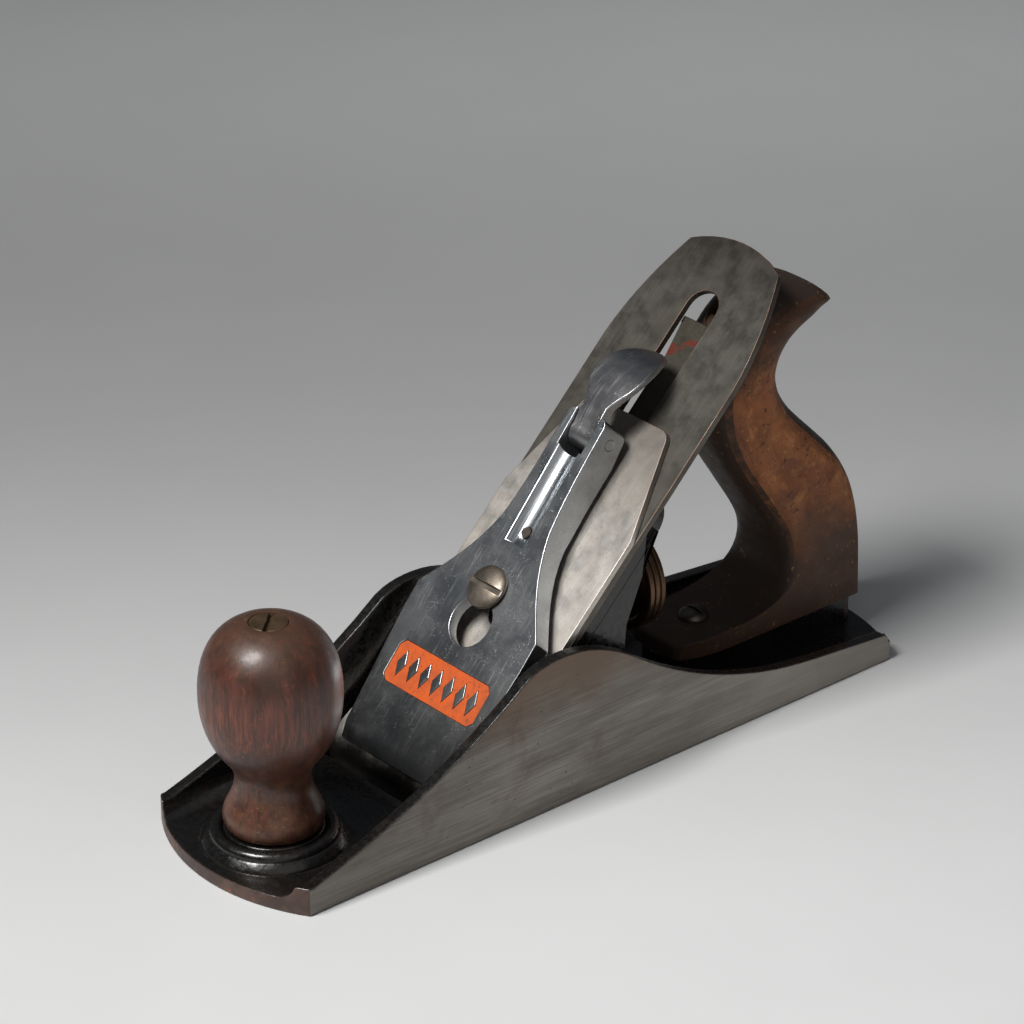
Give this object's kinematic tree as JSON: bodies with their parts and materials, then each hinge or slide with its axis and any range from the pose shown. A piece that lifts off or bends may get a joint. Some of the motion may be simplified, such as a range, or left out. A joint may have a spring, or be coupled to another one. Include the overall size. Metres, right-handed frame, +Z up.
{
  "type": "hand plane",
  "caption": "Iron-bodied smoothing hand plane with a wooden knob and tote, a bedded cutting iron, cap iron, lever cap with cam lock, depth wheel and lateral lever",
  "frame": {"origin": "centre of the sole's underside, on the surface it rests on", "axes": "+Z up, -Y towards the toe (knob), +Y towards the heel (tote), +X towards the plane's left cheek"},
  "size_m": [0.0636, 0.2254, 0.1261],
  "materials": {
    "japanned_casting": "black japanned inside, ground grey cheeks and sole, worn rims",
    "japanned_frog": "black japanned, machined bed",
    "dark_steel": "blackened and tarnished",
    "screw_steel": "brownish worn steel",
    "handle_nut": "tarnished brown",
    "wheel_brass": "tarnished bronze, bright ridges",
    "yoke_iron": "black painted",
    "lateral_steel": "olive grey with a red paint patch",
    "iron_steel": "dark mottled steel with brown patina",
    "cap_iron_steel": "light grey with fine dark specks",
    "nickel_cap": "worn nickel plate",
    "nickel_cam": "worn nickel plate",
    "panel_enamel": "orange enamel with raised dark lozenges",
    "spring_steel": "dull spring steel",
    "stained_beech_knob": "red brown stained beech, satin varnish",
    "stained_beech_tote": "dark brown stained beech, worn at the edges"
  },
  "bodies": {
    "body": {"body_casting": "japanned_casting", "knob": "stained_beech_knob", "knob_bolt": "dark_steel", "knob_nut": "handle_nut", "tote": "stained_beech_tote", "tote_bolt": "dark_steel", "tote_nut": "handle_nut", "tote_toe_screw": "dark_steel", "frog_screws": "dark_steel", "frog_washers": "dark_steel"},
    "frog": {"frog": "japanned_frog", "adjuster_stud": "dark_steel", "frog_clip": "dark_steel", "frog_clip_screw": "dark_steel", "yoke_pin": "dark_steel", "lateral_rivet": "dark_steel", "lever_cap_screw": "screw_steel"},
    "frog_adjuster": {"frog_adjusting_screw": "dark_steel"},
    "wheel": {"adjuster_wheel": "wheel_brass"},
    "yoke": {"yoke_lever": "yoke_iron"},
    "blade": {"iron": "iron_steel", "cap_iron": "cap_iron_steel", "cap_iron_screw": "screw_steel"},
    "lateral": {"lateral_lever": "lateral_steel", "lateral_roller": "dark_steel"},
    "lever_cap": {"lever_cap": "nickel_cap", "lever_cap_panel": "panel_enamel", "leaf_spring": "spring_steel", "spring_rivet": "dark_steel", "cam_pin": "nickel_cap"},
    "cam_lever": {"cam_lever": "nickel_cam"}
  },
  "joints": [
    {"name": "frog_slide", "type": "slide", "parent": "body", "child": "frog", "axis": [0, -1, 0], "range_m": [0, 0.0015]},
    {"name": "frog_screw_turn", "type": "hinge", "parent": "frog", "child": "frog_adjuster", "pos_m": [0, 0.012, 0.0096], "axis": [0, 1, 0], "range_deg": [0, 515]},
    {"name": "wheel_turn", "type": "hinge", "parent": "frog", "child": "wheel", "pos_m": [0, 0.0309, 0.04], "axis": [0, -1, 0], "range_deg": [-368, 368]},
    {"name": "yoke_tilt", "type": "hinge", "parent": "frog", "child": "yoke", "pos_m": [0, 0.01492, 0.05197], "axis": [1, 0, 0], "range_deg": [-5.4, 5.4]},
    {"name": "blade_slide", "type": "slide", "parent": "frog", "child": "blade", "axis": [0, -0.7071, -0.7071], "range_m": [-0.0011, 0.0011]},
    {"name": "lateral_swing", "type": "hinge", "parent": "frog", "child": "lateral", "pos_m": [0, 0.02262, 0.07212], "axis": [0, -0.7071, 0.7071], "range_deg": [-8, 8]},
    {"name": "lever_cap_slide", "type": "slide", "parent": "frog", "child": "lever_cap", "axis": [0, 0.7071, 0.7071], "range_m": [0, 0.01]},
    {"name": "cam_open", "type": "hinge", "parent": "lever_cap", "child": "cam_lever", "pos_m": [0, 0.01937, 0.08528], "axis": [1, 0, 0], "range_deg": [0, 95]}
  ],
  "couplings": [
    {"joint": "frog_screw_turn", "follows": "frog_slide", "rad_per_m": 5927},
    {"joint": "wheel_turn", "follows": "blade_slide", "rad_per_m": 5787},
    {"joint": "yoke_tilt", "follows": "blade_slide", "rad_per_m": 81.3}
  ]
}
